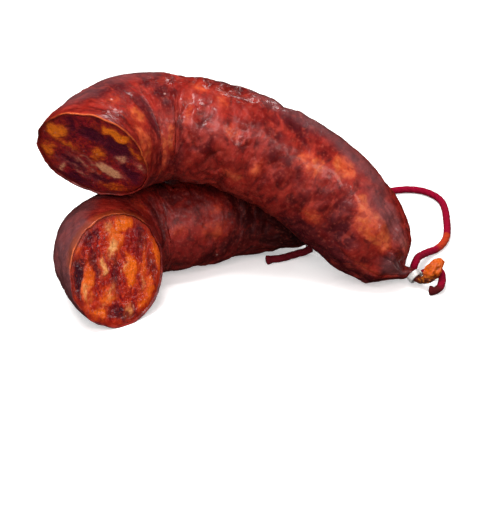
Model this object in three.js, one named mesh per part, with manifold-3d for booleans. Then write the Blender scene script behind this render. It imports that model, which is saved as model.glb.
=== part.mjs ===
// A cut horseshoe chorizo: the two lengths that are left of one dry-cured sausage, still tied end to
// end by their hanging string. The upper length lies across the lower one with its tied tip on the
// surface. Units are millimetres and +Z is up. The origin is the middle of the resting box, without
// the free string, on the surface that the sausage lies on.
import * as THREE from "three";
import { mergeVertices } from "three/addons/utils/BufferGeometryUtils.js";
import Module from "manifold-3d";

const wasm = await Module();
wasm.setup();

// Driving dimensions.
const casingWall = 0.7;
const dryingGap = 0.3; // the filling shrinks away from the casing as it cures
const fillingSetback = 0.6; // the casing's cut edge stands this far beyond the filling
const sectionSides = 24;
const bodyRings = 3; // rings from one station to the next
const tailRings = 2;
const cordDiameter = 3;
const cordSides = 8;
const cordStep = 6.5;
const cordSteps = 14; // the fewest in a short end
const clipBore = 2.1; // radius; the crimped neck inside it is 0.5 thinner
const clipOuter = 3;
const clipWidth = 2.4;
const clipRound = 0.45;
const clipSides = 16;
const knifeWidth = 58; // just wider than the body, and short of where it curves back
const knifeDepth = 60;

// Each length is given by stations along its middle: x, y, z and the radius there. The first station
// is beyond the cut. The body ends at the neck, and the tail is the gathered casing past the clip.
const upper = {
  name: "upper",
  cut: { at: [-49.5, -15, 58.5], normal: [-0.21, -0.86, -0.46] },
  body: [
    [-57.5, -29, 58.5, 19.5],
    [-55, -12, 58.5, 20],
    [-44, 6, 58.5, 21],
    [-30, 12, 58.5, 20],
    [-15, 12, 56.5, 19.5],
    [1, 12, 51, 19.5],
    [19, 11, 41, 19.5],
    [32, 8.5, 31, 19.5],
    [44, 4, 18.9, 18],
    [53.3, 0.5, 9.4, 13],
    [58.4, -1.2, 5.2, 3.2],
  ],
  tail: [
    [61.6, -1.8, 5.2, 1.6],
    [64.5, -4.4, 3.5, 1.6],
    [67.1, -6.1, 4.7, 2.3],
    [68.8, -5.8, 7.2, 3.6],
    [70.8, -5, 9.8, 3.1],
    [73, -4.2, 11.8, 1.4],
  ],
  stringEnd: [
    [66.4, 0.9, 3.2],
    [69.4, 1.6, 4.4],
    [72, 0.8, 5],
    [73.2, -2.4, 4.6],
    [73, -6, 3.4],
    [71.8, -8.8, 2.2],
    [70, -9.8, 1.6],
    [68, -9.8, 1.6],
  ],
};

const lower = {
  name: "lower",
  cut: { at: [-42, -24, 18], normal: [0.56, -0.76, 0.34] },
  body: [
    [-38, -42, 18.2, 18.5],
    [-48.4, -24, 18.6, 19.3],
    [-51.5, -11, 18.5, 19.6],
    [-47.2, 1.6, 17.9, 18.6],
    [-38, 10.2, 17.8, 18.2],
    [-27, 14.5, 17.8, 18.2],
    [-17, 19, 17.6, 18],
    [-7, 23.2, 16.3, 16.6],
    [3, 25, 13.2, 13.5],
    [13, 25.5, 9.6, 9.9],
    [20, 27, 4.2, 3],
  ],
  tail: [
    [22.3, 27.7, 3.6, 1.6],
    [26.6, 28.8, 3.6, 1.6],
    [29, 29.3, 4.6, 2.8],
    [31.6, 29.6, 6, 4],
    [34.4, 29.8, 7.4, 1.8],
  ],
  stringEnd: [
    [24.8, 23.2, 2.6],
    [22.6, 21.6, 2.1],
    [19.6, 20.4, 1.8],
    [16.5, 18.8, 1.6],
    [13, 16.8, 1.6],
    [10, 16, 1.6],
    [7.5, 15.2, 1.6],
  ],
};

// The string from the upper clip round behind the sausage to the lower clip.
const stringRoute = [
  [62.6, 1.6, 4.4],
  [63.3, 2.4, 6.2],
  [64.4, 5.2, 7],
  [65.6, 9.5, 5.9],
  [67, 14, 4.2],
  [70.5, 20.5, 2.4],
  [74, 24.5, 1.6],
  [77, 29, 1.6],
  [79.2, 35, 1.6],
  [80.5, 43, 1.6],
  [81.2, 52, 1.6],
  [81.6, 61, 1.6],
  [81, 69, 1.6],
  [78.5, 75, 1.6],
  [74, 79.5, 1.6],
  [68, 81, 1.6],
  [61, 79.5, 1.6],
  [53, 75.5, 1.6],
  [46, 69.5, 1.6],
  [39.5, 62, 1.6],
  [34, 53.5, 1.6],
  [29.8, 45, 1.8],
  [27, 38.5, 2.8],
  [25.2, 33.6, 4.6],
];

const up = new THREE.Vector3(0, 0, 1);

function vector([x, y, z]) {
  return new THREE.Vector3(x, y, z);
}

function catmull(points) {
  return new THREE.CatmullRomCurve3(points.map(vector));
}

// The middle line, and the radius as a curve along the same parameter.
function spineOf(stations) {
  return {
    line: catmull(stations),
    width: catmull(stations.map((s) => [s[3], 0, 0])),
  };
}

// A ring of points square to the spine at t. A ring has a flat side down, and none of it sinks
// below the height floor, where the soft sausage has settled flat.
function ring(spine, t, inset, floor) {
  const centre = spine.line.getPoint(t);
  const along = spine.line.getTangent(t);
  const side = along.clone().cross(up).normalize();
  const over = side.clone().cross(along);
  const radius = spine.width.getPoint(t).x - inset;
  return Array.from({ length: sectionSides }, (_, i) => {
    const angle = ((i + 0.5) / sectionSides) * 2 * Math.PI;
    const p = centre
      .clone()
      .addScaledVector(side, radius * Math.sin(angle))
      .addScaledVector(over, -radius * Math.cos(angle));
    p.z = Math.max(p.z, floor);
    return p;
  });
}

// A closed skin through the rings, with a flat end at each end of the list.
function loft(rings) {
  const middle = (points) =>
    points.reduce((sum, p) => sum.add(p), new THREE.Vector3()).divideScalar(points.length);
  const points = [...rings.flat(), middle(rings[0]), middle(rings.at(-1))];
  const n = rings[0].length;
  const first = rings.length * n;
  const last = first + 1;
  const faces = [];
  for (let i = 0; i < n; i++) {
    const j = (i + 1) % n;
    for (let k = 0; k < rings.length - 1; k++) {
      const [a, b, c, d] = [k * n + i, k * n + j, (k + 1) * n + j, (k + 1) * n + i];
      faces.push(a, c, b, a, d, c);
    }
    const end = (rings.length - 1) * n;
    faces.push(first, i, j, last, end + j, end + i);
  }
  const geometry = new THREE.BufferGeometry().setFromPoints(points);
  geometry.setIndex(faces);
  return geometry;
}

function solidOf(geometry) {
  const bare = geometry.clone();
  bare.deleteAttribute("normal");
  bare.deleteAttribute("uv");
  const merged = mergeVertices(bare, 1e-4);
  return new wasm.Manifold(
    new wasm.Mesh({
      numProp: 3,
      vertProperties: merged.attributes.position.array,
      triVerts: new Uint32Array(merged.index.array),
    }),
  );
}

function geometryOf(solid) {
  const mesh = solid.getMesh();
  const geometry = new THREE.BufferGeometry();
  geometry.setAttribute("position", new THREE.BufferAttribute(mesh.vertProperties, 3));
  geometry.setIndex(new THREE.BufferAttribute(mesh.triVerts, 1));
  geometry.computeVertexNormals();
  return geometry;
}

// The block in front of a cut plane that has been moved back by setback.
function knife({ at, normal }, setback) {
  const facing = vector(normal).normalize();
  const turn = new THREE.Quaternion().setFromUnitVectors(up, facing);
  const middle = vector(at).addScaledVector(facing, knifeDepth / 2 - setback);
  const box = new THREE.BoxGeometry(knifeWidth, knifeWidth, knifeDepth).applyQuaternion(turn);
  return solidOf(box.translate(middle.x, middle.y, middle.z));
}

// Ring places from the cut to share, which counts stations.
function places(stations, body, share) {
  const spans = stations.length - 1;
  const neck = body - 1;
  const list = [];
  for (let i = 0; i < neck * bodyRings; i++) list.push(i / bodyRings);
  for (let i = 0; i <= (spans - neck) * tailRings; i++) list.push(neck + i / tailRings);
  return list.filter((s) => s < share - 1e-6).concat(share).map((s) => s / spans);
}

function stationsOf(length) {
  return [...length.body, ...length.tail];
}

// The body from the cut to share, with its skin moved in by inset and its far end drawn back by pull.
function bodySolid(length, inset, share, setback, pull = 0) {
  const stations = stationsOf(length);
  const spine = spineOf(stations);
  const list = places(stations, length.body.length, share);
  const rings = list.map((t) => ring(spine, t, inset, inset));
  const back = spine.line.getTangent(list.at(-1)).multiplyScalar(-pull);
  for (const p of rings.at(-1)) p.add(back);
  return solidOf(loft(rings)).subtract(knife(length.cut, setback));
}

// How far the filling reaches, in stations: just short of the neck.
function fillingEnd(length) {
  return length.body.length - 1.1;
}

// The casing with its crimped neck and gathered tail: a sleeve that is open at the cut.
function casing(length) {
  const whole = bodySolid(length, 0, stationsOf(length).length - 1, 0);
  return geometryOf(whole.subtract(bodySolid(length, casingWall, fillingEnd(length), -casingWall)));
}

function filling(length) {
  const inset = casingWall + dryingGap;
  return geometryOf(bodySolid(length, inset, fillingEnd(length), fillingSetback, dryingGap));
}

// A crimped band: a rounded rectangle turned about the neck, between the first two tail stations.
function clip(length) {
  const stations = stationsOf(length);
  const { line } = spineOf(stations);
  const t = (length.body.length + 0.5) / (stations.length - 1);
  const half = clipWidth / 2;
  const profile = [
    [clipBore, -half],
    [clipOuter - clipRound, -half],
    [clipOuter, -half + clipRound],
    [clipOuter, half - clipRound],
    [clipOuter - clipRound, half],
    [clipBore, half],
    [clipBore, -half],
  ].map(([r, h]) => new THREE.Vector2(r, h));
  const axis = new THREE.Vector3(0, 1, 0);
  const turn = new THREE.Quaternion().setFromUnitVectors(axis, line.getTangent(t));
  const band = new THREE.LatheGeometry(profile, clipSides).applyQuaternion(turn);
  return band.translate(...line.getPoint(t));
}

// A round cord along hand-placed points.
function cord(route) {
  const line = catmull(route);
  const outline = new THREE.Shape();
  outline.absarc(0, 0, cordDiameter / 2, 0, 2 * Math.PI);
  return new THREE.ExtrudeGeometry(outline, {
    curveSegments: cordSides / 2,
    steps: Math.max(cordSteps, Math.round(line.getLength() / cordStep)),
    extrudePath: line,
  });
}

const finishes = {
  casing: new THREE.MeshStandardMaterial({ color: 0x6d1c14, roughness: 0.45, metalness: 0 }),
  filling: new THREE.MeshStandardMaterial({ color: 0x9c2b16, roughness: 0.4, metalness: 0 }),
  clip: new THREE.MeshStandardMaterial({ color: 0xd3d2cd, roughness: 0.35, metalness: 1 }),
  string: new THREE.MeshStandardMaterial({ color: 0xa00026, roughness: 0.8, metalness: 0 }),
};

const group = new THREE.Group();

function add(name, geometry, material) {
  const mesh = new THREE.Mesh(geometry, material);
  mesh.name = name;
  group.add(mesh);
}

for (const length of [upper, lower]) {
  add(`${length.name}_casing`, casing(length), finishes.casing);
  add(`${length.name}_filling`, filling(length), finishes.filling);
  add(`${length.name}_clip`, clip(length), finishes.clip);
  add(`${length.name}_string_end`, cord(length.stringEnd), finishes.string);
}
add("tie_string", cord(stringRoute), finishes.string);

export default group;
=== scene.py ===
# A cut horseshoe chorizo: the two lengths that are left of one dry-cured sausage, lying crossed and
# still tied end to end by their crimson string. Metres and +Z up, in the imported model's own frame.
import math
import bpy
import numpy as np
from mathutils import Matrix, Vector


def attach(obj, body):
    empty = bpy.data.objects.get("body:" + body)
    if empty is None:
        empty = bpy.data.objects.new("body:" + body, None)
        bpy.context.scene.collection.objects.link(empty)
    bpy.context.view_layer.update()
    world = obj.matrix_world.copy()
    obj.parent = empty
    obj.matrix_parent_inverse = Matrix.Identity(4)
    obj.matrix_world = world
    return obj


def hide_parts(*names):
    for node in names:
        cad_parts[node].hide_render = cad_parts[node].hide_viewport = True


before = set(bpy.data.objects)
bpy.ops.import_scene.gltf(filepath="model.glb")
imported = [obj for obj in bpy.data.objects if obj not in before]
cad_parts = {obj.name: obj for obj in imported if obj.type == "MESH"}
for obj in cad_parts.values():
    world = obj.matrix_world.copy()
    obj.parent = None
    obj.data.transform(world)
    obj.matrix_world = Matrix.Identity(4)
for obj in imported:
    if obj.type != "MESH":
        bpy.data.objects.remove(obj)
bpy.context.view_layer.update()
scene = bpy.context.scene
scene.view_settings.view_transform = "Standard"

mm = 0.001


def millimetres(rows):
    return np.array(rows, float) * mm


# The camera looks slightly down on the two cut faces.
view = {
    "target": (0.001, 0.021, 0.0),
    "distance": 0.62,
    "elevation": 27,  # degrees above the table
    "lens": 111.0,
}
tilt = math.radians(view["elevation"])
camera = bpy.data.objects.new("camera", bpy.data.cameras.new("camera"))
camera.data.lens = view["lens"]
camera.data.clip_start = 0.01
camera.location = Vector(view["target"]) + view["distance"] * Vector(
    (0, -math.cos(tilt), math.sin(tilt))
)
camera.rotation_euler = (math.pi / 2 - tilt, 0, 0)
scene.collection.objects.link(camera)
scene.camera = camera


# Curves and noise.


def chordRoot(a, b, instead=None):
    # the square root of each chord, or what stands in for one of no length
    root = np.sqrt(np.linalg.norm(b - a, axis=-1, keepdims=True))
    return np.where(root < 3e-6, math.sqrt(mm) if instead is None else instead, root)


def curveAt(points, t):
    # centripetal Catmull-Rom through the points, t from 0 to 1 with equal shares for each span
    ends = [2 * points[0] - points[1]], points, [2 * points[-1] - points[-2]]
    padded = np.concatenate(ends)
    place = np.clip(t, 0, 1) * (len(points) - 1)
    i = np.minimum(place.astype(int), len(points) - 2)
    w = (place - i)[..., None]
    a, b, c, d = (padded[i + k] for k in range(4))
    middle = chordRoot(b, c)
    before, after = chordRoot(a, b, middle), chordRoot(c, d, middle)
    out = ((b - a) / before - (c - a) / (before + middle) + (c - b) / middle) * middle
    into = ((c - b) / middle - (d - b) / (middle + after) + (d - c) / after) * middle
    bend = -3 * b + 3 * c - 2 * out - into
    return b + out * w + bend * w**2 + (2 * b - 2 * c + out + into) * w**3


def smooth(value, low, high):
    x = np.clip((value - low) / (high - low), 0, 1)
    return x * x * (3 - 2 * x)


def scatter(cell, seed):
    # three steady random numbers from -1 to 1 for each whole-numbered cell
    mixed = cell[..., 0] * 73856093 ^ cell[..., 1] * 19349663 ^ cell[..., 2] * 83492791
    mixed = (mixed + seed * 2654435761) & 0xFFFFFFFF
    found = []
    for turn in (1, 2, 3):
        x = (mixed + turn * 374761393) & 0xFFFFFFFF
        x = ((x ^ (x >> 15)) * 2246822519) & 0xFFFFFFFF
        x = ((x ^ (x >> 13)) * 3266489917) & 0xFFFFFFFF
        found.append((x ^ (x >> 16)) / 2147483648 - 1)
    return np.stack(found, -1)


def noise(p, seed=0):
    # smooth gradient noise, about -1 to 1
    cell = np.floor(p).astype(np.int64)
    f = p - cell
    w = f**3 * (f * (f * 6 - 15) + 10)
    total = np.zeros(p.shape[:-1])
    for corner in np.ndindex(2, 2, 2):
        share = np.prod(np.where(corner, w, 1 - w), axis=-1)
        total += share * np.sum(scatter(cell + corner, seed) * (f - corner), axis=-1)
    return total * 1.5


def layers(p, count, seed=0):
    return sum(noise(p * 2**k, seed + k) / 2**k for k in range(count))


def furrow(n, width):
    # thin lines where the noise n passes through zero
    return np.clip(1 - np.abs(n) / width, 0, 1) ** 2


# Mesh helpers.


def wrapped(rings, firstPole, lastPole):
    # points and faces of a closed skin over rings of equal count, with a pole at each end
    count, around = rings.shape[:2]
    points = np.concatenate([rings.reshape(-1, 3), [firstPole, lastPole]])
    k, i = np.meshgrid(np.arange(count - 1), np.arange(around), indexing="ij")
    j = (i + 1) % around
    here, beyond = k * around, (k + 1) * around
    quads = np.stack([here + i, beyond + i, beyond + j, here + j], -1)
    i = np.arange(around)
    j = (i + 1) % around
    first, last = count * around, count * around + 1
    base = (count - 1) * around
    caps = [[first, a, b] for a, b in zip(i.tolist(), j.tolist())]
    caps += [[last, base + b, base + a] for a, b in zip(i.tolist(), j.tolist())]
    return points, quads.reshape(-1, 4).tolist() + caps


def reversedFaces(faces):
    return [face[::-1] for face in faces]


def withPoles(values):
    # the values of every ring in one row, and the two poles' after them
    flat = values.reshape(-1, *values.shape[2:])
    return np.concatenate([flat, flat[:1], flat[-1:]])


def addPiece(name, points, faces, material, replaced, fields=None):
    mesh = bpy.data.meshes.new(name)
    mesh.from_pydata(points.tolist(), [], faces)
    mesh.polygons.foreach_set("use_smooth", [True] * len(mesh.polygons))
    for field, values in (fields or {}).items():
        kind, key = ("FLOAT_VECTOR", "vector") if values.ndim == 2 else ("FLOAT", "value")
        made = mesh.attributes.new(field, kind, "POINT")
        made.data.foreach_set(key, values.astype(np.float32).ravel())
    mesh.materials.append(material)
    mesh.update()
    piece = bpy.data.objects.new(name, mesh)
    scene.collection.objects.link(piece)
    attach(piece, "root")
    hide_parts(replaced)
    return piece


# Material helpers.


def tone(code):
    # a colour code as the linear colour that a shader takes
    values = [int(code[i : i + 2], 16) / 255 for i in (0, 2, 4)]
    return (*[((v + 0.055) / 1.055) ** 2.4 if v > 0.04045 else v / 12.92 for v in values], 1)


def setUp(node, inputs):
    # a socket is linked, and anything else is set on the node
    for key, value in inputs.items():
        if isinstance(value, bpy.types.NodeSocket):
            node.id_data.links.new(value, node.inputs[key])
        else:
            node.inputs[key].default_value = value


def addTo(tree, kind, **settings):
    made = tree.nodes.new("ShaderNode" + kind)
    for key, value in settings.items():
        setattr(made, key, value)
    return made


def add(kind, inputs, **settings):
    # a node in the same tree as the first socket that it takes
    tree = next(v for v in inputs.values() if isinstance(v, bpy.types.NodeSocket)).id_data
    made = addTo(tree, kind, **settings)
    setUp(made, inputs)
    return made


def calc(operation, a, b):
    return add("Math", {0: a, 1: b}, operation=operation).outputs[0]


def plus(a, b):
    return calc("ADD", a, b)


def minus(a, b):
    return calc("SUBTRACT", a, b)


def times(a, b):
    return calc("MULTIPLY", a, b)


def scaled(vector, by):
    return add("VectorMath", {0: vector, 1: by}, operation="MULTIPLY").outputs[0]


def blend(factor, a, b, mode="MIX"):
    made = add("Mix", {0: factor, 6: a, 7: b}, data_type="RGBA", blend_type=mode)
    return made.outputs[2]


def tint(color, factor, code, mode="MIX"):
    return blend(factor, color, tone(code), mode)


def spread(value, low, high, toHigh=1.0, toLow=0.0):
    inputs = {"Value": value, "From Min": low, "From Max": high, "To Min": toLow, "To Max": toHigh}
    return add("MapRange", inputs, interpolation_type="SMOOTHSTEP").outputs[0]


def grain(vector, size, detail=2.0, roughness=0.5, distortion=0.0):
    # noise whose blobs are about size across
    inputs = {"Vector": vector, "Scale": 1 / size, "Detail": detail, "Roughness": roughness}
    inputs["Distortion"] = distortion
    return add("TexNoise", inputs).outputs["Fac"]


def field(tree, name, vector=False):
    made = addTo(tree, "Attribute", attribute_name=name)
    return made.outputs["Vector" if vector else "Fac"]


def newGroup(name, numbers, result):
    # a group that takes a vector and some numbers and gives one number
    group = bpy.data.node_groups.new(name, "ShaderNodeTree")
    group.interface.new_socket("Vector", in_out="INPUT", socket_type="NodeSocketVector")
    for socket in numbers:
        group.interface.new_socket(socket, in_out="INPUT", socket_type="NodeSocketFloat")
    group.interface.new_socket(result, in_out="OUTPUT", socket_type="NodeSocketFloat")
    given = group.nodes.new("NodeGroupInput").outputs
    return group, given, group.nodes.new("NodeGroupOutput").inputs[result]


# A ragged-edged patch, where a field in millimetres is above zero.
def makePatchGroup():
    group, given, mask = newGroup("raggedPatch", ["Field", "Ragged", "Edge"], "Mask")
    rough = grain(given["Vector"], 2.2 * mm, detail=4.0, roughness=0.62, distortion=1.2)
    shift = times(minus(rough, 0.5), given["Ragged"])
    below = times(given["Edge"], -1.0)
    total = plus(given["Field"], shift)
    group.links.new(spread(total, below, given["Edge"]), mask)
    return group


# Small pale specks, strewn sparsely, used as painted glints.
def makeSpeckGroup():
    group, given, mask = newGroup("specks", ["Spacing", "Share", "Size"], "Mask")
    scale = calc("DIVIDE", 1.0, given["Spacing"])
    inputs = {"Vector": given["Vector"], "Scale": scale, "Randomness": 1.0}
    cells = add("TexVoronoi", inputs).outputs
    near = spread(cells["Distance"], given["Size"], times(given["Size"], 0.2))
    chance = add("SeparateColor", {0: cells["Color"]}).outputs[0]
    picked = calc("LESS_THAN", chance, given["Share"])
    group.links.new(times(near, picked), mask)
    return group


# Fine relief of moist, cured matter: grain over a softer swell.
def makeReliefGroup():
    group, given, height = newGroup("moistRelief", ["Fine", "Broad"], "Height")
    fine = grain(given["Vector"], 0.45 * mm, detail=3.0, roughness=0.6)
    broad = grain(given["Vector"], 1.8 * mm, distortion=0.5)
    total = plus(times(fine, given["Fine"]), times(broad, given["Broad"]))
    group.links.new(total, height)
    return group


patchGroup, speckGroup, reliefGroup = makePatchGroup(), makeSpeckGroup(), makeReliefGroup()


def patchMask(value, vector, ragged, edge):
    inputs = {"Field": value, "Vector": vector, "Ragged": ragged, "Edge": edge}
    return add("Group", inputs, node_tree=patchGroup).outputs["Mask"]


def speckMask(vector, spacing, share, size):
    inputs = {"Vector": vector, "Spacing": spacing, "Share": share, "Size": size}
    return add("Group", inputs, node_tree=speckGroup).outputs["Mask"]


def reliefHeight(vector, fine, broad):
    inputs = {"Vector": vector, "Fine": fine, "Broad": broad}
    return add("Group", inputs, node_tree=reliefGroup).outputs["Height"]


def newMaterial(name, preview):
    material = bpy.data.materials.new(name)
    material.use_nodes = True
    material.diffuse_color = preview
    tree = material.node_tree
    return material, tree, tree.nodes["Principled BSDF"]


# The string. Its strands are real ridges on the mesh, wound round a middle line.

stringShape = {
    "diameter": 3 * mm,
    "strands": 3,
    "groove": 0.1,  # the depth between strands, as a share of the radius
    "turn": 11 * mm,  # the length in which a strand goes once round
    "fuzz": 0.03,  # how uneven its outline is, as a share of the radius
    "fray": 0.25,  # how much wider a cut end is
    "around": 30,
    "step": 0.4 * mm,
}
stringRoute = millimetres([
    [62.6, 1.6, 4.4],
    [63.3, 2.4, 6.2],
    [64.4, 5.2, 7],
    [65.6, 9.5, 5.9],
    [67, 14, 4.2],
    [70.5, 20.5, 2.4],
    [74, 24.5, 1.6],
    [77, 29, 1.6],
    [79.2, 35, 1.6],
    [80.5, 43, 1.6],
    [81.2, 52, 1.6],
    [81.6, 61, 1.6],
    [81, 69, 1.6],
    [78.5, 75, 1.6],
    [74, 79.5, 1.6],
    [68, 81, 1.6],
    [61, 79.5, 1.6],
    [53, 75.5, 1.6],
    [46, 69.5, 1.6],
    [39.5, 62, 1.6],
    [34, 53.5, 1.6],
    [29.8, 45, 1.8],
    [27, 38.5, 2.8],
    [25.2, 33.6, 4.6],
])


def evenly(points, step):
    # a smooth line through the points, resampled to equal steps
    dense = curveAt(points, np.linspace(0, 1, 4000))
    run = np.concatenate([[0], np.cumsum(np.linalg.norm(np.diff(dense, axis=0), axis=1))])
    places = np.linspace(0, run[-1], max(8, round(run[-1] / step)) + 1)
    return np.stack([np.interp(places, run, dense[:, k]) for k in range(3)], 1), places


def carried(line):
    # directions along the line, and a side direction carried along it without twist
    along = np.gradient(line, axis=0)
    along /= np.linalg.norm(along, axis=1, keepdims=True)
    side = np.cross(along[0], [0, 0, 1])
    sides = []
    for direction in along:
        side = side - direction * (side @ direction)
        side /= np.linalg.norm(side)
        sides.append(side)
    sides = np.array(sides)
    return along, sides, np.cross(along, sides)


def addString(name, route, material, replaced, stain, soilAndShade, frayed):
    shape = stringShape
    line, run = evenly(route, shape["step"])
    along, side, over = carried(line)
    angle = np.arange(shape["around"]) / shape["around"] * 2 * math.pi
    turned = angle[None, :] - run[:, None] * 2 * math.pi / shape["turn"]
    lobe = np.abs(np.cos(turned * shape["strands"] / 2)) ** 0.7
    thick, groove = shape["diameter"], shape["groove"]
    runs = np.broadcast_to(run[:, None], turned.shape)
    fibre = np.stack([runs, np.cos(turned) * thick, np.sin(turned) * thick], -1)
    radius = thick / 2 * (1 - groove + groove * lobe)
    radius = radius * (1 + shape["fuzz"] * noise(fibre / (0.7 * mm) * [0.3, 1, 1], 5))
    if frayed:  # the cut end opens a little
        radius *= (1 + shape["fray"] * smooth(run - run[-1], -2.2 * mm, -0.6 * mm))[:, None]
    rings = line[:, None] + radius[..., None] * (
        np.cos(angle)[None, :, None] * side[:, None] + np.sin(angle)[None, :, None] * over[:, None]
    )
    rings[..., 2] = np.maximum(rings[..., 2], 0.05 * mm)
    points, faces = wrapped(rings, line[0] - along[0] * 0.3 * mm, line[-1] + along[-1] * 0.4 * mm)
    fields = {
        "fibre": withPoles(fibre),
        "groove": np.concatenate([1 - lobe.ravel(), [0, 0]]),
        "stain": withPoles(stain(runs)),
        "soilAndShade": withPoles(soilAndShade(runs)),
    }
    piece = addPiece(name, points, reversedFaces(faces), material, replaced, fields)
    return piece, line


def makeStringMaterial():
    material, tree, shader = newMaterial("crimsonCotton", tone("8c0628"))
    fibre = field(tree, "fibre", vector=True)
    threads = grain(scaled(fibre, (0.25, 1, 1)), 0.28 * mm, detail=3.0, roughness=0.65)
    broad = grain(fibre, 5 * mm)
    color = blend(spread(threads, 0.3, 0.7), tone("6d0018"), tone("9c0630"))
    color = tint(color, spread(broad, 0.35, 0.65, 0.5), "7c0420")
    # paprika fat soaked into it, dirt at the upper end's cut tip, and painted shade all along the
    # lower end
    stain = minus(times(field(tree, "stain"), 2.0), 1.0)
    stain = patchMask(stain, fibre, 1.6, 0.5)
    color = tint(color, times(stain, 0.8), "b03a14")
    color = tint(color, times(field(tree, "soilAndShade"), 0.85), "34100a")
    # painted shade in the grooves between strands
    color = tint(color, spread(field(tree, "groove"), 0.45, 1.0, 0.5), "38000c")
    bump = add("Bump", {"Strength": 0.8, "Distance": 0.12 * mm, "Height": threads})
    setUp(shader, {
        "Base Color": color,
        "Roughness": 0.85,
        "Specular IOR Level": 0.12,
        "Normal": bump.outputs[0],
    })
    return material


stringMaterial = makeStringMaterial()


def stainedOver(run):
    # where the hanging string is stained, past the upper clip
    return smooth(run, 22 * mm, 35 * mm) * (1 - smooth(run, 40 * mm, 43 * mm))


def clean(run):
    return 0 * run


shortEnds = {
    "upper": millimetres([
        [66.4, 0.9, 3.2],
        [69.4, 1.6, 4.4],
        [72, 0.8, 5],
        [73.2, -2.4, 4.6],
        [73, -6, 3.4],
        [71.8, -8.8, 2.2],
        [70, -9.8, 1.6],
        [68, -9.8, 1.6],
    ]),
    "lower": millimetres([
        [24.8, 23.2, 2.6],
        [22.6, 21.6, 2.1],
        [19.6, 20.4, 1.8],
        [16.5, 18.8, 1.6],
        [13, 16.8, 1.6],
        [10, 16, 1.6],
        [7.5, 15.2, 1.6],
    ]),
}
# dirt at the upper end's cut tip; painted shade all along the lower end
soilAndShadeOfEnds = {
    "upper": lambda run: smooth(run, 15.5 * mm, 18 * mm),
    "lower": lambda run: 0.75 + 0 * run,
}
tieString, tiePath = addString(
    "tieString", stringRoute, stringMaterial, "tie_string", stainedOver, clean, frayed=False
)
for name, route in shortEnds.items():
    replaced = f"{name}_string_end"
    made = addString(
        f"{name}StringEnd", route, stringMaterial, replaced, clean, soilAndShadeOfEnds[name], frayed=True
    )
print("string laid")


# Each length follows stations along its middle: x, y, z and the radius there. The first is beyond
# the cut, the body ends at the neck, and the tail is the gathered casing past the clip.

upperLength = {
    "name": "upper",
    "cutAt": millimetres([-49.5, -15, 58.5]),
    "cutNormal": np.array([-0.21, -0.86, -0.46]),
    "body": millimetres([
        [-57.5, -29, 58.5, 19.5],
        [-55, -12, 58.5, 20],
        [-44, 6, 58.5, 21],
        [-30, 12, 58.5, 20],
        [-15, 12, 56.5, 19.5],
        [1, 12, 51, 19.5],
        [19, 11, 41, 19.5],
        [32, 8.5, 31, 19.5],
        [44, 4, 18.9, 18],
        [53.3, 0.5, 9.4, 13],
        [58.4, -1.2, 5.2, 3.2],
    ]),
    "tail": millimetres([
        [61.6, -1.8, 5.2, 1.6],
        [64.5, -4.4, 3.5, 1.6],
        [67.1, -6.1, 4.7, 2.3],
        [68.8, -5.8, 7.2, 3.6],
        [70.8, -5, 9.8, 3.1],
        [73, -4.2, 11.8, 1.4],
    ]),
    "seed": 3,
    "deep": 0.0,  # how much painted shade darkens and reddens the skin, and how much duller it has dried
    "wrinkled": (52 * mm, 26 * mm),  # where the skin is drawn into folds, and over what reach
    "smoothTo": (30 * mm, 44 * mm),  # how far the skin is taut from the cut
    "freeEnd": 3.5,  # how much prouder the skin may stand where it lies clear
    "rim": (150, 75, 0.5 * mm),  # the orange edge: towards, reach in degrees, width
    # swells and hollows: along, around in degrees, half sizes, height
    "swells": [
        [117, 98, 6, 7, -1.6],
        [124, 132, 8, 6, 1.4],
        [101, 150, 6, 6, 0.8],
        [109, 112, 3, 10, -1.2],
        [133, 108, 5, 6, -1.2],
        [130, 152, 4, 7, -0.9],
        [113, 140, 5, 4, 0.8],
        [45, 105, 2.2, 13, -0.8],
        [35, 100, 4, 9, 0.5],
        [58, 118, 5, 8, 0.4],
        [70, 100, 2, 10, -0.5],
        [83, 150, 3, 9, -0.5],
        [92, 165, 5, 6, 0.4],
        [18, 132, 4, 8, -0.5],
        [61, 172, 3, 8, -0.5],
        [120, 176, 4, 7, -0.5],
    ],
    # fat showing through the skin: along, around in degrees, half sizes, strength
    "fat": [
        [7, 160, 4, 3, 0.6],
        [4, 108, 6, 9, 0.8],
        [10, 132, 5, 4, 1.2],
        [29, 88, 6, 9, 0.8],
        [35.7, 102, 2.6, 6, 1.3],
        [46, 134, 1.8, 8, 0.9],
        [48.6, 166, 3, 3, 0.8],
        [55, 154, 2.2, 6, 0.8],
        [60, 118, 3, 3, 0.6],
        [73.6, 92, 2.4, 4, 1.2],
        [90.6, 128, 7, 4, 1.2],
        [101.3, 150, 5, 5, 1.6],
        [115.4, 140, 6, 3.4, 1.9],
        [124.8, 133, 10, 6, 2.2],
        [104, 86, 5, 3, 1.0],
        [135, 86, 6, 1.8, 0.7],
        [66, 70, 5, 3, 0.7],
        [25, 64, 6, 3, 0.6],
        [138, 160, 5, 3, 0.8],
    ],
    # a dull bloom on the skin, and painted sheen where the skin turns away along its outline
    "bloomAndSheen": [
        [8, 205, 10, 8, 0.5],
        [26, 205, 14, 10, 0.4],
        [126, 160, 14, 5, 1.5],
        [104, 178, 15, 6, 1.4],
        [142, 112, 6, 6, 1.3],
        [84, 190, 16, 8, 0.5],
    ],
    # dark lean showing through; the two rows low on the belly, at 52 and 56 degrees, are painted
    # shade
    "plum": [
        [18, 132, 5, 8, 2.4],
        [45, 104, 2, 10, 1.0],
        [119, 98, 6, 5, 2.2],
        [140, 126, 5, 3, 1.2],
        [130, 56, 16, 10, 3.0],
        [110, 52, 16, 8, 2.4],
        [80, 165, 9, 5, 0.9],
        [12, 175, 9, 7, 0.9],
        [109, 118, 3, 4, 1.0],
    ],
}

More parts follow.
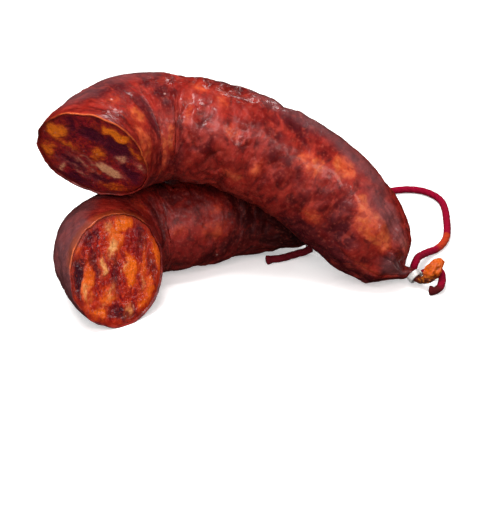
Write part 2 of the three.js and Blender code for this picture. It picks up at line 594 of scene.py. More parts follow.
lowerLength = {
    "name": "lower",
    "cutAt": millimetres([-42, -24, 18]),
    "cutNormal": np.array([0.56, -0.76, 0.34]),
    "body": millimetres([
        [-38, -42, 18.2, 18.5],
        [-48.4, -24, 18.6, 19.3],
        [-51.5, -11, 18.5, 19.6],
        [-47.2, 1.6, 17.9, 18.6],
        [-38, 10.2, 17.8, 18.2],
        [-27, 14.5, 17.8, 18.2],
        [-17, 19, 17.6, 18],
        [-7, 23.2, 16.3, 16.6],
        [3, 25, 13.2, 13.5],
        [13, 25.5, 9.6, 9.9],
        [20, 27, 4.2, 3],
    ]),
    "tail": millimetres([
        [22.3, 27.7, 3.6, 1.6],
        [26.6, 28.8, 3.6, 1.6],
        [29, 29.3, 4.6, 2.8],
        [31.6, 29.6, 6, 4],
        [34.4, 29.8, 7.4, 1.8],
    ]),
    "seed": 11,
    "deep": 1.0,
    "wrinkled": (58 * mm, 22 * mm),
    "smoothTo": (30 * mm, 44 * mm),
    "freeEnd": 0,
    "rim": (195, 62, 4.5 * mm),
    "swells": [
        [38, 120, 2, 12, -0.6],
        [56, 100, 6, 7, 0.4],
        [3, 250, 8, 12, -0.4],
    ],
    "fat": [
        [64.8, 126, 4, 3, 1.1],
        [62.9, 100, 7, 5, 1.1],
        [50, 108, 5, 4, 0.7],
        [30, 150, 4, 4, 0.5],
    ],
    # a dull bloom, and painted sheen along the outline near the cut
    "bloomAndSheen": [
        [4, 255, 18, 18, 3.0],
        [18, 215, 9, 8, 0.8],
    ],
    # dark lean showing through; the rows from 76 to 100 mm, under the upper length, are painted
    # shade
    "plum": [
        [2, 256, 8, 14, 1.2],
        [84, 128, 15, 12, 3.0],
        [100, 110, 14, 14, 3.0],
        [76, 165, 14, 8, 2.4],
        [30, 180, 9, 8, 0.9],
        [38, 120, 3, 9, 0.8],
    ],
}

meanRadius = 19 * mm
skinShape = {
    "around": 224,  # points in a ring
    "step": 0.031,  # ring spacing as a share of the radius
    "stepRange": (0.2 * mm, 0.58 * mm),
    "wall": 0.45 * mm,
    "lumps": (0.5 * mm, 8 * mm),  # height and size
    "pebbles": (0.2 * mm, 2.6 * mm),
    "folds": (0.7 * mm, 3.8 * mm, 16 * mm),  # depth, spacing along, length around
    "calm": 0.06,  # how deep they are away from the wrinkled part, as a share
    "ridges": 1.7 * mm,
    "puckers": (2.4 * mm, 42 * mm),  # depth, and reach from the neck
    "deepest": 2.7 * mm,
    "highest": 0.28 * mm,  # the two skins lie 0.7 mm apart
    "curl": 0.22 * mm,  # how far the cut edge waves in and out
    "uneven": 0.35,  # how much the wall's thickness varies, as a share
    "pleats": 2.0,  # how closely the tail is gathered
    "tuft": (0.14, 0.26, 0.2),  # its pleats, crumples and dents, as shares of the radius
}


def makeSpine(length):
    stations = np.concatenate([length["body"], length["tail"]])
    t = np.linspace(0, 1, 3000)
    line = curveAt(stations[:, :3], t)
    along = np.gradient(line, axis=0)
    along /= np.linalg.norm(along, axis=1, keepdims=True)
    run = np.concatenate([[0], np.cumsum(np.linalg.norm(np.diff(line, axis=0), axis=1))])
    normal = length["cutNormal"] / np.linalg.norm(length["cutNormal"])
    ahead = (line - length["cutAt"]) @ normal
    run -= run[np.nonzero(ahead[:1000] > 0)[0][-1]]  # the cut is in the first third
    return {
        "t": t,
        "line": line,
        "along": along,
        "run": run,
        "radius": curveAt(stations[:, 3:], t)[:, 0],
        "neck": run[np.searchsorted(t, (len(length["body"]) - 1) / (len(stations) - 1))],
        "clip": (len(length["body"]) + 0.5) / (len(stations) - 1),
        "end": run[-1],
        "normal": normal,
    }


def lookUp(spine, run, key):
    values = spine[key]
    if values.ndim == 1:
        return np.interp(run, spine["run"], values)
    return np.stack([np.interp(run, spine["run"], values[:, k]) for k in range(3)], -1)


def skinAt(spine, run, angle, out):
    # points of the skin at a run along the spine and an angle from below, moved out by out
    centre, along = lookUp(spine, run, "line"), lookUp(spine, run, "along")
    side = np.cross(along, [0, 0, 1])
    side /= np.linalg.norm(side, axis=-1, keepdims=True)
    over = np.cross(side, along)
    outward = np.sin(angle)[..., None] * side - np.cos(angle)[..., None] * over
    radius = lookUp(spine, run, "radius") + out
    return centre + radius[..., None] * outward


def unrolled(run, angle):
    # skin coordinates: along, and round a circle of the mean radius, so that no seam shows
    run, angle = run + 0 * angle, angle + 0 * run
    return np.stack([run, meanRadius * np.cos(angle), meanRadius * np.sin(angle)], -1)


def turnedFrom(angle, degrees):
    # the turn from an angle in degrees, between half a turn either way
    return (angle - math.radians(degrees) + math.pi) % (2 * math.pi) - math.pi


def strewn(rows, coords, run, angle):
    # the highest of soft-edged oval patches, in millimetres inside their edges
    warp = [layers(coords / (5 * mm), 2, seed) * 1.6 * mm for seed in (31, 37)]
    best = np.full(run.shape, -4.0)
    for place, degrees, half, halfAround, strength in rows:
        x = (run - place * mm + warp[0]) / (half * mm)
        y = (turnedFrom(angle, degrees) * meanRadius + warp[1]) / (halfAround * mm)
        inside = (1 - np.hypot(x, y)) * min(half, halfAround)
        best = np.maximum(best, np.where(inside > 0, inside * strength, inside))
    return np.clip(best, -4, 4)


def relief(length, spine, run, angle):
    # how far the dried skin stands out or falls in, and how deep in a fold it is
    shape, seed = skinShape, length["seed"]
    coords = unrolled(run, angle)
    place = skinAt(spine, run, angle, 0)
    radius = lookUp(spine, run, "radius")
    height = shape["lumps"][0] * layers(place / shape["lumps"][1], 2, seed)
    height += shape["pebbles"][0] * layers(place / shape["pebbles"][1], 2, seed + 20)
    depth, spacing, reach = shape["folds"]
    warped = coords + layers(coords / (8 * mm), 2, seed + 5)[..., None] * 1.5 * mm
    lines = furrow(noise(warped / [spacing, reach, reach], seed + 7), 0.22)
    finer = furrow(noise(warped / [spacing * 0.5, reach * 0.6, reach * 0.6], seed + 9), 0.25)
    where, width = length["wrinkled"]
    drawn = np.exp(-(((run - where) / width) ** 2))
    patchy = smooth(layers(coords / (11 * mm), 2, seed + 13), -0.35, 0.45)
    strength = shape["calm"] + (1 - shape["calm"]) * drawn
    strength = strength * (0.25 + 0.75 * patchy) * smooth(run, *length["smoothTo"])
    fold = strength * (lines + 0.45 * finer)
    ridged = noise(warped / [spacing * 1.25, reach * 0.8, reach * 0.8], seed + 3)
    height += shape["ridges"] * strength * (np.minimum(ridged, 0.7) - 0.35)
    # folds that gather towards the neck
    near = smooth(-(spine["neck"] - run), -shape["puckers"][1], 0)
    gathers = np.stack([run / (30 * mm), 2.1 * np.cos(angle), 2.1 * np.sin(angle)], -1)
    gathers[..., 1:] += 0.3 * noise(place / (8 * mm), seed + 17)[..., None]
    hollow = np.clip(0.5 - 1.1 * noise(gathers, seed + 19), 0, 1)
    thin = furrow(noise(gathers * [1, 1.6, 1.6], seed + 27), 0.35)
    pucker = near**1.2 * (0.7 * hollow + 0.3 * thin)
    height -= depth * fold + np.minimum(shape["puckers"][0], 0.3 * radius) * pucker
    for at, degrees, half, halfAround, rise in length["swells"]:
        far = ((run - at * mm) / (half * mm)) ** 2
        far += (turnedFrom(angle, degrees) * meanRadius / (halfAround * mm)) ** 2
        height += rise * mm * np.exp(-far)
    height = np.maximum(height, -np.minimum(0.34 * radius, shape["deepest"]))
    # past the neck the casing is a pleated tuft
    past = smooth(run, spine["neck"] + 6 * mm, spine["neck"] + 9 * mm)
    around = shape["pleats"] * np.stack([np.cos(angle), np.sin(angle)], -1)
    gathered = np.concatenate([run[..., None] / (6 * mm), around], -1)
    pleats = np.clip(0.5 - 0.9 * noise(gathered, seed + 23), 0, 1)
    crumple = np.abs(noise(place / (1.7 * mm), seed + 29))
    dents = smooth(noise(place / (3.5 * mm), seed + 33), -0.2, 0.6)
    shares = shape["tuft"]
    tuft = -radius * (shares[0] * pleats + shares[1] * crumple + shares[2] * dents)
    onBody = 1 - smooth(run, spine["neck"] - 2 * mm, spine["neck"] + 1 * mm)
    height = height * onBody + tuft * past
    limit = shape["highest"] * (1 + length["freeEnd"] * near)
    height = np.where(height > 0, limit * np.tanh(height / limit), height)
    crease = 0.8 * fold + 0.2 * near * thin * onBody + past * (0.5 * pleats + 0.6 * crumple)
    return height, np.clip(crease, 0, 1), past, coords


def cutStarts(length, spine, angle):
    # where each line along the skin meets the cut
    run = np.linspace(spine["run"][0], 40 * mm, 900)
    points = skinAt(spine, run[:, None] + 0 * angle, angle + 0 * run[:, None], 0)
    ahead = (points - length["cutAt"]) @ spine["normal"]
    last = len(run) - 1 - np.argmax(ahead[::-1] > 0, axis=0)
    column = np.arange(len(angle))
    a, b = ahead[last, column], ahead[last + 1, column]
    return run[last] + (run[1] - run[0]) * a / (a - b)


def ringRuns(spine, starts, stepShare, low, high, end):
    # rings that begin on the cut and grow square to the spine further on
    runs = [starts.min()]
    while runs[-1] < end:
        runs.append(runs[-1] + np.clip(lookUp(spine, runs[-1], "radius") * stepShare, low, high))
    runs = np.array(runs)
    runs = runs[0] + (runs - runs[0]) * (end - runs[0]) / (runs[-1] - runs[0])
    reach = 2.2 * (starts.max() - starts.min()) + 1 * mm
    return runs[:, None] + (starts - runs[0]) * (1 - smooth(runs - runs[0], 0, reach))[:, None]


def wallAt(edge, length):
    # the gut's thickness at each point of the cut edge
    unevenness = skinShape["uneven"] * noise(edge / (4 * mm), length["seed"] + 43)
    return skinShape["wall"] * (1 + unevenness)


def hidden(past):
    # how much further in the wall lies past the cut, clear of the hollows in the skin
    return 1.3 * mm * smooth(past, 0.5 * mm, 7 * mm) + 1.7 * mm * smooth(past, 7 * mm, 16 * mm)


def addCasing(length, material):
    shape = skinShape
    spine = length["spine"] = makeSpine(length)
    angle = (np.arange(shape["around"]) + 0.5) / shape["around"] * 2 * math.pi
    starts = length["starts"] = cutStarts(length, spine, angle)
    outer = ringRuns(spine, starts, shape["step"], *shape["stepRange"], spine["end"])
    height, crease, tuft, coords = relief(length, spine, outer, angle[None, :] + 0 * outer)
    # the cut edge of the gut is thin and a little uneven
    edge = unrolled(starts, angle)
    curl = shape["curl"] * layers(edge / (6 * mm), 2, length["seed"] + 41)
    wall = wallAt(edge, length)
    lipHeight = height[0] + curl
    height = height + curl * (1 - smooth(outer - starts, 0, 3 * mm))
    points = skinAt(spine, outer, angle[None, :] + 0 * outer, height)
    # the wall inside, far end first, then the lip
    inner = ringRuns(spine, starts, 0.2, 2 * mm, 4 * mm, spine["neck"] - 7 * mm)[::-1]
    deeper = smooth(inner - starts, 0.5 * mm, 7 * mm)
    inset = -wall - hidden(inner - starts) + lipHeight * (1 - deeper)
    inside = skinAt(spine, inner, angle[None, :] + 0 * inner, inset)
    lip = [
        skinAt(spine, starts - 0.02 * mm, angle, lipHeight - wall * 0.8),
        skinAt(spine, starts - 0.12 * mm, angle, lipHeight - wall * 0.5),
        skinAt(spine, starts - 0.06 * mm, angle, lipHeight - wall * 0.15),
    ]
    inside[..., 2] = np.maximum(inside[..., 2], 0.3 * mm)
    rings = np.concatenate([inside, lip, points])
    rings[..., 2] = np.maximum(rings[..., 2], 0)
    made, faces = wrapped(rings, rings[0].mean(0), rings[-1].mean(0))
    before = len(inside) + len(lip)

    def whole(values, inside=None):
        # the outer skin's values, with one for all that lies over the lip and inside
        inside = 0 * crease[0] if inside is None else inside
        head = np.broadcast_to(inside, (before, *values.shape[1:]))
        return withPoles(np.concatenate([head, values]))

    towards, reach, band = length["rim"]
    off, reach = np.abs(turnedFrom(angle, towards)), math.radians(reach)
    lit = (1 - smooth(off, reach * 0.7, reach * 1.1))[None, :]
    lit = lit * (0.65 + 0.35 * noise(edge / (5 * mm), length["seed"] + 47))
    past, shadeAndDrynessShare = outer - starts, length["deep"]
    fields = {
        "unrolled": whole(coords, coords[0]),
        "crease": whole(crease),
        "lip": whole(lit * (1 - smooth(past, 0.05 * mm, 0.5 * mm)), lit),
        "band": whole(lit * (1 - smooth(past, 0.3 * band, band))),
        "tuft": whole(tuft),
        # painted shade on the lower length, with its dullness, and more painted shade at its far end
        "deep": whole(shadeAndDrynessShare * smooth(outer, 22 * mm, 40 * mm)),
        "farEndShade": whole(shadeAndDrynessShare * smooth(outer, 66 * mm, 92 * mm)),
    }
    for kind in ("fat", "plum", "bloomAndSheen"):
        found = strewn(length[kind], coords, outer, angle[None, :] + 0 * outer)
        fields[kind] = whole(found, -4.0 + 0 * crease[0])
    length["lipHeight"] = lipHeight
    name = length["name"]
    return addPiece(f"{name}Casing", made, faces, material, f"{name}_casing", fields)


def makeCasingMaterial():
    material, tree, shader = newMaterial("curedGut", tone("6e1510"))
    skin = field(tree, "unrolled", vector=True)
    place = addTo(tree, "TexCoord").outputs["Object"]
    broad = grain(place, 12 * mm, distortion=0.5)
    middle = grain(place, 5 * mm, detail=3.0, distortion=0.7)
    streaks = grain(scaled(skin, (1.0, 0.3, 0.3)), 1.5 * mm, distortion=0.4)
    fine = grain(place, 1.0 * mm)
    color = blend(spread(broad, 0.36, 0.66), tone("5a0807"), tone("841a12"))
    color = tint(color, spread(middle, 0.48, 0.72, 0.6), "982618")
    color = tint(color, spread(middle, 0.46, 0.28, 0.7), "46090a")
    # dark lean showing through, and painted shade where some rows lie under the upper length and on
    # the upper's belly
    lean = calc("MAXIMUM", field(tree, "plum"), spread(broad, 0.5, 0.3, 1.0, -4.0))
    color = tint(color, times(patchMask(lean, place, 3.0, 2.6), 0.72), "3c0e16")
    # fat showing through, as a red halo round a mottled orange heart
    fat = field(tree, "fat")
    halo = patchMask(plus(fat, 0.4), place, 6.0, 2.0)
    heart = patchMask(minus(fat, 1.3), place, 4.5, 1.5)
    warm = blend(spread(middle, 0.4, 0.6), tone("aa3e1c"), tone("c2522c"))
    warm = tint(warm, spread(broad, 0.5, 0.62, 0.5), "a0541a")
    mottled = grain(place, 2.4 * mm, distortion=0.2)
    warm = tint(warm, spread(mottled, 0.54, 0.36, 0.75), "7e2012")
    # painted highlights: paler mottles on the fat
    warm = tint(warm, spread(mottled, 0.56, 0.7, 0.5), "cc7040")
    color = tint(color, times(halo, 0.6), "9c2412")
    color = blend(times(heart, 0.75), color, warm)
    # a fine network of lean and fat, whose dark parts are fainter over the larger fat
    net = grain(scaled(skin, (1.0, 0.6, 0.6)), 3.6 * mm, detail=1.6, distortion=0.8)
    plain = minus(1.0, times(heart, 0.75))
    color = tint(color, spread(net, 0.52, 0.72, 0.5), "a03022")
    netted = times(spread(net, 0.48, 0.28, 0.65), plain)
    color = tint(color, netted, "3a080c")
    # painted shade: the skin darker and redder away from the cut, and darker still at the far end,
    # under the upper length
    deep = field(tree, "deep")
    color = tint(color, times(deep, 0.75), "e09088", "MULTIPLY")
    color = tint(color, times(field(tree, "farEndShade"), 0.55), "4a3238", "MULTIPLY")
    # a dull greyish bloom, partly real and partly painted sheen along the outline
    bloomAndSheen = patchMask(field(tree, "bloomAndSheen"), place, 1.5, 3.4)
    color = tint(color, times(bloomAndSheen, 0.6), "6e4648")
    # streaks across it, grains, painted shade in the creases, and the cut edge
    streaked = times(spread(streaks, 0.4, 0.62, 0.2), plain)
    color = tint(color, streaked, "3a0808")
    color = tint(color, spread(fine, 0.56, 0.7, 0.2), "b0503c")
    crease = field(tree, "crease")
    # painted shade in the creases and folds
    color = tint(color, spread(crease, 0.15, 1.0, 0.55), "300608")
    color = tint(color, times(field(tree, "band"), 0.7), "8a3a12")
    lip = times(field(tree, "lip"), spread(middle, 0.4, 0.6, 0.9, 0.25))
    color = tint(color, lip, "d2622a")
    # the gathered tail: painted shade where it lies low, orange above, and painted shade in its
    # creases
    high = add("SeparateXYZ", {0: place}).outputs[2]
    high = plus(high, times(fine, 3 * mm))
    tail = blend(spread(high, 6.6 * mm, 10 * mm), tone("4e1c08"), tone("b44806"))
    tail = tint(tail, spread(fine, 0.5, 0.66, 0.45), "d8761e")
    tail = tint(tail, spread(crease, 0.25, 0.9, 0.6), "6e2408")
    color = blend(field(tree, "tuft"), color, tail)
    # painted glints: sparse pale specks on the skin
    speck = speckMask(place, 6 * mm, 0.1, 0.12)
    color = tint(color, times(speck, 0.55), "d8a89c")
    raised = times(minus(streaks, 0.5), plain)
    raised = plus(reliefHeight(place, 0.3, 1.0), raised)
    bump = add("Bump", {"Strength": 0.6, "Distance": 0.25 * mm, "Height": raised})
    # duller where it has dried
    rough = plus(spread(middle, 0.3, 0.7, 0.48, 0.34), times(deep, 0.12))
    moist = spread(broad, 0.35, 0.65, 0.4, 0.15)
    moist = times(moist, spread(deep, 0.0, 1.0, 0.35, 1.0))
    setUp(shader, {
        "Base Color": color,
        "Roughness": rough,
        "Specular IOR Level": 0.4,
        "Coat Weight": moist,
        "Coat Roughness": 0.14,
        "Normal": bump.outputs[0],
    })
    return material


casingMaterial = makeCasingMaterial()
for length in (upperLength, lowerLength):
    addCasing(length, casingMaterial)
print("casings shaped")


# The cut faces. Pieces of fat and lean: across, up, half length, half width, tilt in degrees and
# strength, in millimetres from the point that the cut passes through.

upperLength["marbling"] = {
    "orange": [
        [-17.2, 11.2, 5.4, 4.2, 70, 1.3],
        [5.2, 11.6, 5.8, 2.7, -36, 2.6],
        [-3.5, 0.0, 3.4, 2.2, 60, 0.8],
        [-0.6, -18.3, 4.5, 1.2, -12, 0.4],
        [-22.4, 0.0, 4.4, 2.0, 80, 0.8],
        [-13.5, 4.0, 4.0, 1.4, -50, 0.7],
        [10.5, 3.0, 5.0, 1.2, -60, 0.9],
    ],
    "cream": [
        [-0.8, -8.8, 6.2, 2.5, -40, 1.5],
        [-19.6, -8.6, 2.4, 1.6, 50, 0.9],
        [4.8, -1.5, 2.2, 1.2, 60, 0.8],
        [-10.8, -6.0, 5.0, 0.8, -50, 0.7],
        [-13.0, -9.5, 4.5, 0.7, -48, 0.6],
        [-8.0, -3.0, 3.5, 0.6, -40, 0.6],
        [11.3, -5.0, 3.0, 1.4, -60, 0.5],
    ],
    "plum": [
        [-3.6, 10.9, 5.0, 3.6, -30, 1.5],
        [4.5, 4.0, 7.0, 4.4, -35, 1.5],
        [-14.3, -15.8, 5.0, 3.0, -30, 1.1],
        [7.0, -9.0, 5.5, 2.4, -60, 1.2],
        [-11.1, 13.6, 4.4, 1.8, 80, 1.0],
        [-14.0, -6.5, 5.0, 3.0, -50, 0.9],
        [-6.0, -14.5, 5.0, 2.2, -30, 1.2],
        [-21.0, -14.0, 4.0, 2.4, -60, 0.9],
    ],
}
lowerLength["marbling"] = {
    "orange": [
        [1.2, 17.0, 4.4, 3.2, 20, 1.6],
        [-0.1, 0.1, 7.0, 2.8, 76, 1.6],
        [-18.3, -0.6, 6.6, 2.0, 72, 1.5],
        [11.9, 2.0, 8.0, 1.9, 92, 1.5],
        [-11.7, -7.1, 4.2, 2.4, 0, 1.1],
        [-18.7, 14.2, 3.4, 1.5, 76, 1],
        [-16.4, -12.4, 3.2, 2.0, -20, 1],
        [5.7, -9.5, 5.2, 1.8, 70, 0.9],
        [1.5, -12.1, 2.6, 2.0, 60, 0.9],
        [-3.5, 12.5, 5.0, 3.4, 80, 0.9],
        [6.0, 1.0, 5.0, 1.2, 78, 0.8],
    ],
    "cream": [
        [-4.9, 9.7, 4.2, 1.8, 74, 1.6],
        [-4.8, 16.7, 2.6, 1.1, 80, 1],
        [-10.7, 3.5, 3.4, 1.3, 76, 1.4],
        [-1.9, 1.4, 1.8, 0.9, 70, 1.2],
        [-18.9, -3.6, 3.2, 1.1, 72, 1.3],
        [-4.2, -14.2, 1.8, 1.2, 80, 1.1],
        [-9.5, -5.8, 2.6, 1.0, 60, 0.9],
        [3.5, -6.0, 2.6, 0.8, 75, 0.8],
        [-13.5, -9.5, 1.8, 0.9, 30, 0.8],
    ],
    "plum": [
        [-12.3, 15.1, 3.0, 1.6, 20, 0.4],
        [-20.6, 2.8, 8.5, 2.3, 78, 2.4],
        [6.9, 9.1, 6.0, 1.5, 80, 0.6],
        [-7.5, -14.4, 5.8, 1.6, -18, 0.6],
        [-14.0, 6.0, 5.0, 1.5, 80, 0.8],
        [9.0, -3.0, 5.0, 1.2, 85, 0.8],
        [-6.3, -1.0, 5.0, 1.2, 78, 0.7],
    ],
}

faceShape = {
    "rings": 84,
    "setback": 0.3 * mm,
    "clearance": 0.16 * mm,  # between the filling and the gut round it
    "relief": 0.42 * mm,
}


def marbled(rows, x, y, seed):
    # the highest of ragged oval pieces, in millimetres inside their edges
    flat = np.stack([x, y, 0 * x], -1)
    shift = [layers(flat / (4.5 * mm) + k, 3, seed + k) * 1.9 * mm for k in (0, 7)]
    best = np.full(x.shape, -4.0)
    for across, rise, half, halfWidth, degrees, strength in rows:
        turn = math.radians(degrees)
        dx, dy = x - across * mm + shift[0], y - rise * mm + shift[1]
        u = (dx * math.cos(turn) + dy * math.sin(turn)) / (half * mm)
        v = (dy * math.cos(turn) - dx * math.sin(turn)) / (halfWidth * mm)
        inside = (1 - np.hypot(u, v)) * halfWidth
        best = np.maximum(best, np.where(inside > 0, inside * strength, inside))
    return np.clip(best, -4, 4)


def addFilling(length, material):
    shape, spine, starts, name = faceShape, length["spine"], length["starts"], length["name"]
    angle = (np.arange(len(starts)) + 0.5) / len(starts) * 2 * math.pi
    edge = unrolled(starts, angle)
    wall = wallAt(edge, length)
    rim = skinAt(spine, starts, angle, length["lipHeight"] - wall - shape["clearance"])
    normal = spine["normal"]
    rim -= ((rim - length["cutAt"]) @ normal)[:, None] * normal
    rim -= normal * shape["setback"]
    middle = rim.mean(0)
    share = np.linspace(0, 1, shape["rings"] + 1)[1:] ** 0.85
    points = middle + (rim - middle) * share[:, None, None]
    right = np.cross([0, 0, 1], normal)
    right /= np.linalg.norm(right)
    rise = np.cross(normal, right)
    x, y = (points - length["cutAt"]) @ right, (points - length["cutAt"]) @ rise
    flat = np.stack([x, y, 0 * x], -1)
    seed = length["seed"]
    found = {kind: marbled(rows, x, y, seed + 50) for kind, rows in length["marbling"].items()}
    # fat stands a little proud and lean dries in
    fatty = smooth(np.maximum(found["orange"], found["cream"]), -0.4, 1.0)
    lean = smooth(found["plum"], -0.5, 1.5)
    height = 0.35 * fatty - 0.55 * lean + 0.5 * layers(flat / (3.2 * mm), 3, seed + 60)
    height += 0.25 * layers(flat / (1.3 * mm), 2, seed + 64)
    drop = smooth(share, 0.9, 1.0)[:, None]
    height = height * shape["relief"] * (1 - 0.6 * drop) - 0.35 * mm * drop
    points = points + height[..., None] * normal
    # the rest of the filling, inside the casing
    sides = ringRuns(spine, starts, 0.2, 2 * mm, 4 * mm, spine["neck"] - 8 * mm)[1:]
    deeper = smooth(sides - starts, 0.5 * mm, 7 * mm)
    inset = -wall - shape["clearance"] - hidden(sides - starts) - 0.2 * mm * deeper
    inset = inset + length["lipHeight"] * (1 - deeper)
    body = skinAt(spine, sides, angle[None, :] + 0 * sides, inset)
    rings = np.concatenate([points, body])
    rings[..., 2] = np.maximum(rings[..., 2], 0.6 * mm)
    made, faces = wrapped(rings, middle, rings[-1].mean(0))

    def whole(values):
        # the face's values, carried down the sides
        carriedDown = np.broadcast_to(values[-1:], (len(body), *values.shape[1:]))
        return withPoles(np.concatenate([values, carriedDown]))

    fields = {kind: whole(values) for kind, values in found.items()}
    fields["slice"] = whole(flat)
    fields["rind"] = whole(smooth(share, 0.88, 1.0)[:, None] + 0 * x)
    return addPiece(f"{name}Filling", made, faces, material, f"{name}_filling", fields)


def makeFillingMaterial(name, colors, stretch):
    material, tree, shader = newMaterial(name, tone(colors["lean"]))
    place = field(tree, "slice", vector=True)
    drawn = scaled(place, stretch)
    broad = grain(drawn, 6 * mm, distortion=1.6)
    middle = grain(drawn, 2.6 * mm, detail=3.0, roughness=0.55, distortion=1.8)
    fibres = grain(drawn, 1.3 * mm, detail=3.0, roughness=0.6, distortion=2.2)
    fine = grain(place, 0.5 * mm)

    def paint(color, kind, ragged, edge, shift, share, shade):
        # a colour wherever one kind of piece lies, grown or shrunk by the shift
        mask = patchMask(plus(field(tree, kind), shift), drawn, ragged, edge)
        return tint(color, times(mask, share), colors[shade])

    color = blend(spread(broad, 0.4, 0.6), tone(colors["lean"]), tone(colors["meat"]))
    color = tint(color, spread(middle, 0.5, 0.68, 0.9), colors["paprika"])
    color = tint(color, spread(middle, 0.46, 0.3, 0.85), colors["dark"])
    color = paint(color, "plum", 4.0, 1.4, 0.2, 0.9, "plum")
    color = paint(color, "orange", 4.6, 1.8, 0.2, 0.8, "halo")
    color = paint(color, "orange", 4.2, 1.4, -0.9, 0.95, "orange")
    color = paint(color, "cream", 3.6, 1.5, 0.0, 0.75, "tan")
    color = paint(color, "cream", 3.2, 1.1, -0.9, 0.95, "cream")
    color = paint(color, "plum", 3.0, 1.2, -1.8, 0.9, "plum")
    color = tint(color, spread(fibres, 0.56, 0.74, 0.6), colors["halo"])
    color = tint(color, spread(fibres, 0.44, 0.28, 0.65), colors["dark"])
    color = tint(color, spread(fine, 0.6, 0.74, 0.14), colors["tan"])
    glint = speckMask(drawn, 2.2 * mm, 0.25, 0.2)
    color = tint(color, times(glint, 0.55), colors["glint"])
    color = tint(color, times(field(tree, "rind"), 0.6), colors["rind"])
    raised = plus(reliefHeight(drawn, 0.5, 1.2), times(fibres, 1.2))
    bump = add("Bump", {"Strength": 0.8, "Distance": 0.35 * mm, "Height": raised})
    setUp(shader, {
        "Base Color": color,
        "Roughness": spread(middle, 0.3, 0.7, 0.45, 0.3),
        "Specular IOR Level": 0.28,
        "Coat Weight": spread(broad, 0.35, 0.65, 0.35, 0.08),
        "Coat Roughness": 0.1,
        "Normal": bump.outputs[0],
    })
    return material


upperMeat = makeFillingMaterial(
    "curedMeatDark",
    {
        "lean": "640c18",
        "meat": "86141c",
        "paprika": "9a260c",
        "dark": "460c18",
        "plum": "420a1e",
        "halo": "9e3008",
        "orange": "da6a0c",
        "tan": "96443e",
        "cream": "cc8e66",
        "glint": "a8706e",
        "rind": "600e0a",
    },
    (1.0, 0.8, 1.0),
)
lowerMeat = makeFillingMaterial(
    "curedMeatBright",
    {
        "lean": "78080a",
        "meat": "961404",
        "paprika": "b42c02",
        "dark": "560814",
        "plum": "2c0412",
        "halo": "b43200",
        "orange": "d25a00",
        "tan": "b04a20",
        "cream": "d49052",
        "glint": "d88a70",
        "rind": "8a220a",
    },
    (1.0, 0.4, 1.0),
)
addFilling(upperLength, upperMeat)
addFilling(lowerLength, lowerMeat)
print("cut faces marbled")


# The clips: flat aluminium wire bent round each neck until its ends meet.

clipShape = {
    "bore": 2.15 * mm,
    "thick": 0.85 * mm,
    "wide": 2.4 * mm,
    "open": 14,  # degrees between the ends
    "narrow": 0.62,  # how thick the very ends are, as a share
    "dent": 0.08 * mm,
    "steps": 72,
    "around": 20,
}


def makeClipMaterial():
    material, tree, shader = newMaterial("crimpedAluminium", tone("d3d2cd"))
    place = addTo(tree, "TexCoord").outputs["Object"]
    scuffs = grain(place, 0.5 * mm, detail=4.0, roughness=0.7, distortion=1.0)
    broad = grain(place, 2.0 * mm)
    color = blend(spread(broad, 0.4, 0.6), tone("f4f4f2"), tone("dcdad6"))
    bump = add("Bump", {"Strength": 0.5, "Distance": 0.05 * mm, "Height": scuffs})
    setUp(shader, {
        "Base Color": color,
        "Metallic": 0.45,
        "Roughness": spread(scuffs, 0.3, 0.7, 0.5, 0.3),
        "Normal": bump.outputs[0],
    })
    return material


def addClip(length, material, turn):
    shape, spine = clipShape, length["spine"]
    run = np.interp(spine["clip"], spine["t"], spine["run"])
    centre, axis = lookUp(spine, run, "line"), lookUp(spine, run, "along")
    side = np.cross(axis, [0, 0, 1])
    side /= np.linalg.norm(side)
    over = np.cross(side, axis)
    first = math.radians(shape["open"]) / 2
    last = 2 * math.pi - first
    past = np.linspace(first, last, shape["steps"])
    bend = past + turn
    radial = np.cos(bend)[:, None] * side + np.sin(bend)[:, None] * over
    # a rounded oblong section, narrower at the two ends and dented where the crimper bit
    corner = np.arange(shape["around"]) / shape["around"] * 2 * math.pi
    ends = np.minimum(smooth(past, first, first + 0.3), smooth(-past, -last, 0.3 - last))
    taper = shape["narrow"] + (1 - shape["narrow"]) * ends[:, None]
    out, up = (np.sign(v) * np.abs(v) ** 0.55 for v in (np.cos(corner), np.sin(corner)))
    radius = shape["bore"] + shape["thick"] / 2 * (1 + out * taper)
    radius = radius + shape["dent"] * np.cos(bend * 4 + 0.6)[:, None]
    width = shape["wide"] / 2 * up * taper
    rings = centre + radius[..., None] * radial[:, None] + width[..., None] * axis
    made, faces = wrapped(rings, rings[0].mean(0), rings[-1].mean(0))
    name = length["name"]
    return addPiece(f"{name}Clip", made, reversedFaces(faces), material, f"{name}_clip")


clipMaterial = makeClipMaterial()
addClip(upperLength, clipMaterial, 1.9)
addClip(lowerLength, clipMaterial, 0.4)
print("clips crimped")


# A plain pale table and soft studio light. The surround's light and the wide lamps aren't mirrored
# by the moist surfaces; the small lamps make the glints.

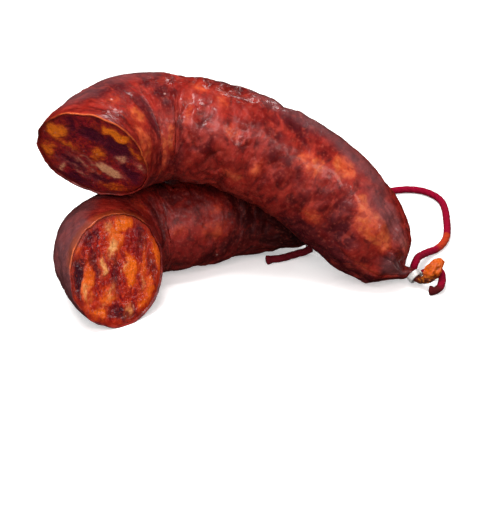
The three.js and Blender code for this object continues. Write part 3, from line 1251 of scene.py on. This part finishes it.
stage = {
    "half": 2.0,  # half the table's width
    "table": "f7f6f5",
    "glow": 0.35,  # so that only a faint shadow lies on it
    "surround": 0.3,
    "aim": (0, 0, 0.03),
}
white, rosy, ruddy = (1, 1, 1), (1, 0.8, 0.8), (1, 0.8, 0.76)
lamps = {
    # place, width, watts, colour, and whether it is mirrored
    "mainSoftbox": [(-0.16, -0.02, 0.72), 0.45, 5.7, white, False],
    "frontSoftbox": [(-0.10, -0.62, 0.38), 0.5, 1.75, white, False],
    "sideFill": [(0.60, -0.20, 0.34), 0.4, 0.7, white, False],
    "leftSheen": [(-0.42, -0.34, 0.46), 0.2, 0.6, white, True],
    "topGlint": [(-0.06, -0.12, 0.62), 0.12, 0.9, white, True],
    "ridgeSheen": [(-0.05, -0.46, 0.50), 0.2, 0.9, rosy, True],
    "tipSheen": [(0.34, -0.44, 0.42), 0.16, 0.5, ruddy, True],
    "lowFill": [(-0.34, -0.62, 0.04), 0.4, 1.3, white, False],
    "backGlint": [(0.16, 0.48, 0.36), 0.08, 0.22, white, True],
    "lowGlint": [(0.50, -0.28, 0.20), 0.1, 0.25, white, True],
}


def addTable():
    half = stage["half"]
    corners = [(-half, -half, 0), (half, -half, 0), (half, half, 0), (-half, half, 0)]
    mesh = bpy.data.meshes.new("table")
    mesh.from_pydata(corners, [], [(0, 1, 2, 3)])
    material, tree, shader = newMaterial("paleTable", tone(stage["table"]))
    setUp(shader, {
        "Base Color": tone(stage["table"]),
        "Roughness": 0.7,
        "Specular IOR Level": 0.2,
        "Emission Color": (1, 1, 1, 1),
        "Emission Strength": stage["glow"],
    })
    mesh.materials.append(material)
    table = bpy.data.objects.new("table", mesh)
    table.location.z = -0.05 * mm
    table.visible_glossy = False
    table.visible_diffuse = False  # the undersides stay dark
    scene.collection.objects.link(table)


def addLamp(name, at, width, watts, color, mirrored):
    light = bpy.data.lights.new(name, "AREA")
    light.shape = "SQUARE"
    light.size = width
    light.energy = watts
    light.color = color
    lamp = bpy.data.objects.new(name, light)
    lamp.location = at
    aim = Vector(stage["aim"]) - Vector(at)
    lamp.rotation_euler = aim.to_track_quat("-Z", "Y").to_euler()
    lamp.visible_glossy = mirrored
    scene.collection.objects.link(lamp)


def addSurround():
    world = bpy.data.worlds.new("studio")
    world.use_nodes = True
    background = world.node_tree.nodes["Background"]
    setUp(background, {"Color": (1, 1, 1, 1), "Strength": stage["surround"]})
    world.cycles_visibility.glossy = False
    scene.world = world


addTable()
for name, row in lamps.items():
    addLamp(name, *row)
addSurround()
print("table and lamps placed")
